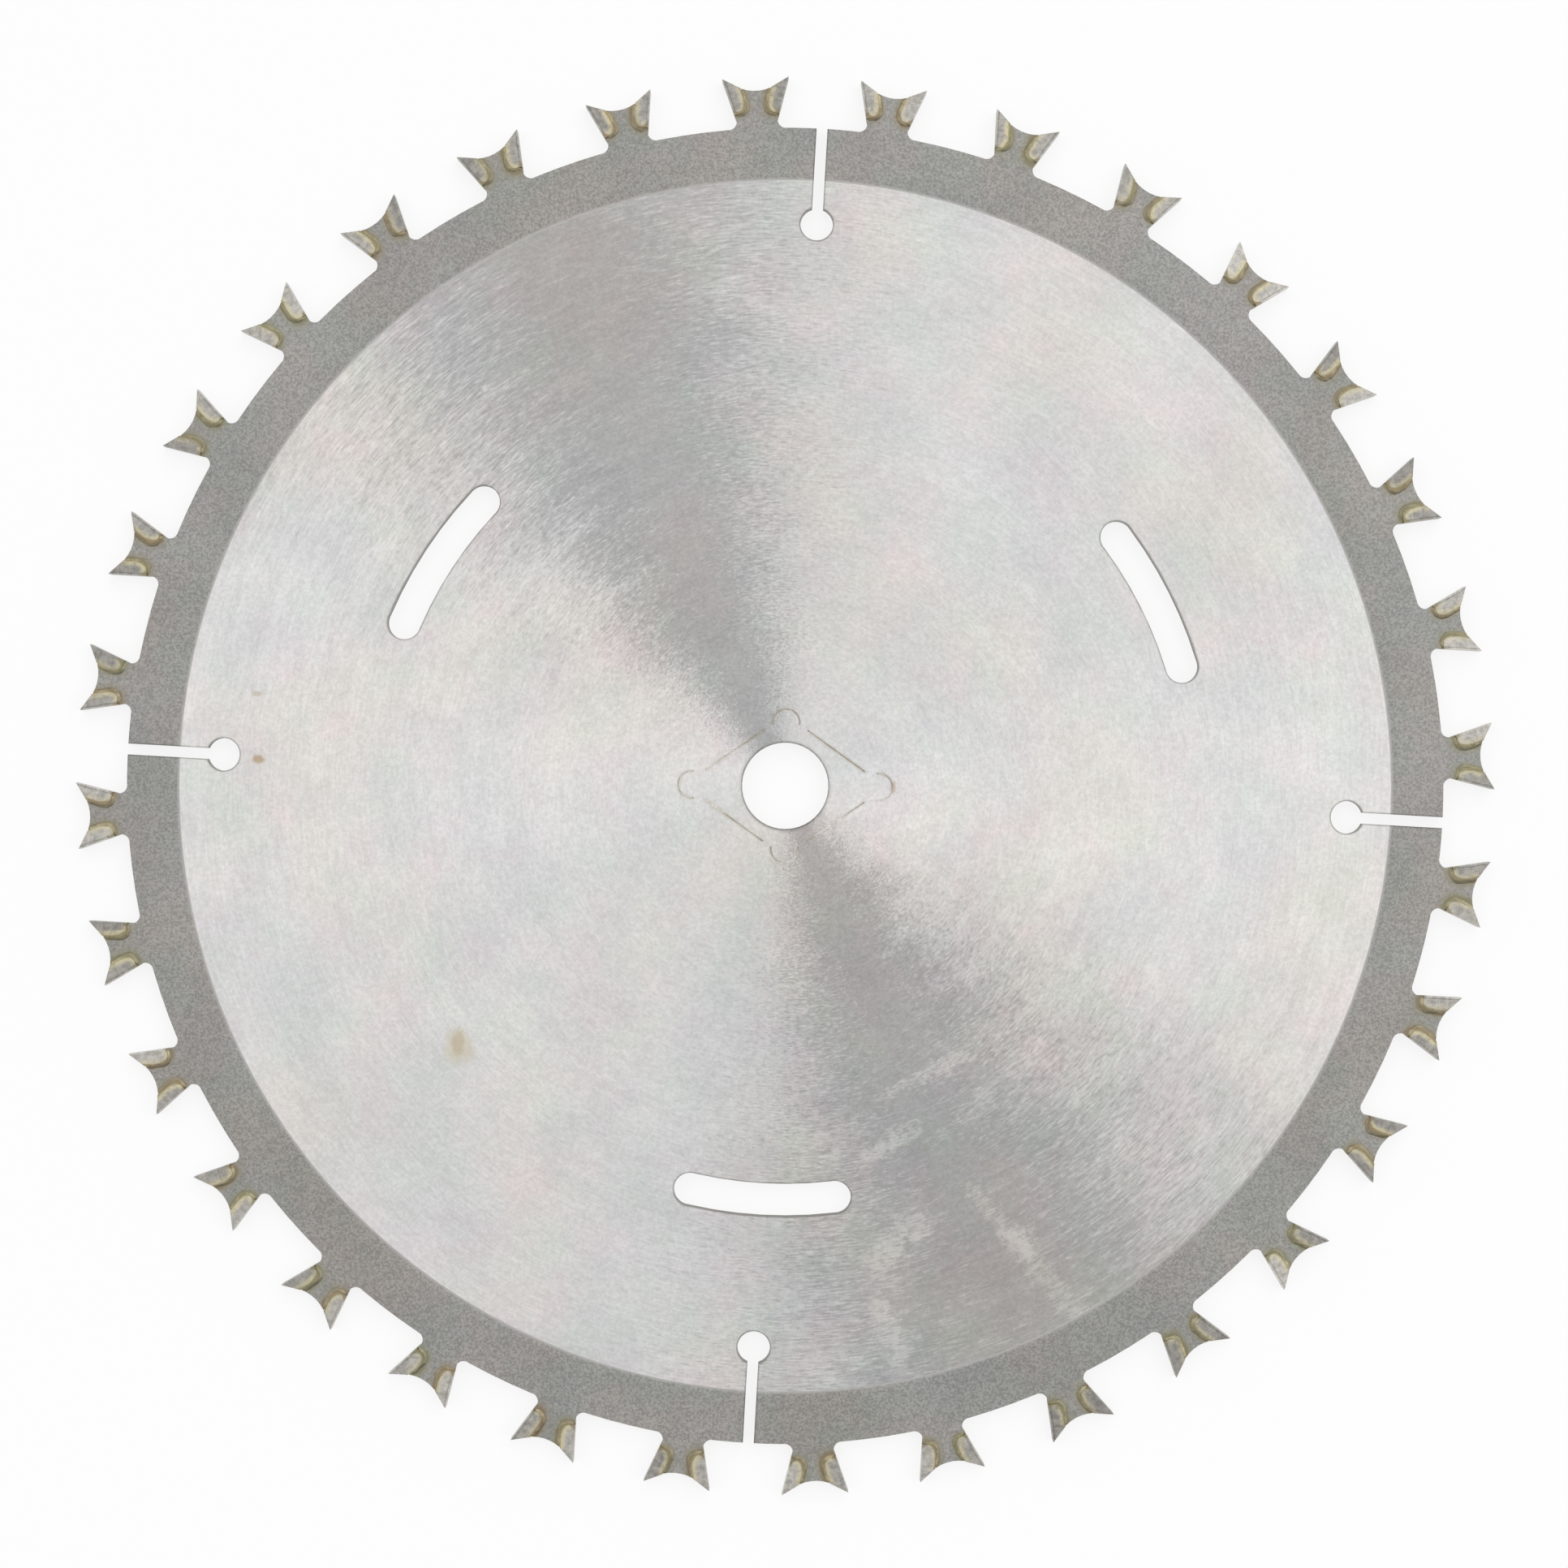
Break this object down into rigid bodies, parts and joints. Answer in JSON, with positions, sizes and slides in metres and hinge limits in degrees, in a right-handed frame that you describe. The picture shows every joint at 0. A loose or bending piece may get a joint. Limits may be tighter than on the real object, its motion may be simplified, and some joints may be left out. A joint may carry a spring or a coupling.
{
  "type": "circular saw blade",
  "caption": "Flat round saw blade for an arbor: fishtail teeth hold brazed carbide tips facing both ways, with expansion slots, curved vents and a scored diamond knock-out.",
  "frame": {"origin": "centre of the bore, on the middle plane of the plate", "axes": "+Z along the bore, out of the upper face; +X through one expansion slot; +Y through the next"},
  "size_m": [0.2596, 0.2596, 0.003],
  "materials": {
    "plate_steel": "disc ground in circles, rim band left dull",
    "carbide": "ground",
    "braze": "as brazed, heat tinted"
  },
  "bodies": {
    "root": {"blade_plate": "plate_steel", "tip_pair_01": "carbide", "tip_pair_02": "carbide", "tip_pair_03": "carbide", "tip_pair_04": "carbide", "tip_pair_05": "carbide", "tip_pair_06": "carbide", "tip_pair_07": "carbide", "tip_pair_08": "carbide", "tip_pair_09": "carbide", "tip_pair_10": "carbide", "tip_pair_11": "carbide", "tip_pair_12": "carbide", "tip_pair_13": "carbide", "tip_pair_14": "carbide", "tip_pair_15": "carbide", "tip_pair_16": "carbide", "tip_pair_17": "carbide", "tip_pair_18": "carbide", "tip_pair_19": "carbide", "tip_pair_20": "carbide", "tip_pair_21": "carbide", "tip_pair_22": "carbide", "tip_pair_23": "carbide", "tip_pair_24": "carbide", "tip_pair_25": "carbide", "tip_pair_26": "carbide", "tip_pair_27": "carbide", "tip_pair_28": "carbide", "tip_pair_29": "carbide", "tip_pair_30": "carbide", "tip_pair_31": "carbide", "tip_pair_32": "carbide", "braze_sector_1": "braze", "braze_sector_2": "braze", "braze_sector_3": "braze", "braze_sector_4": "braze"}
  },
  "joints": []
}
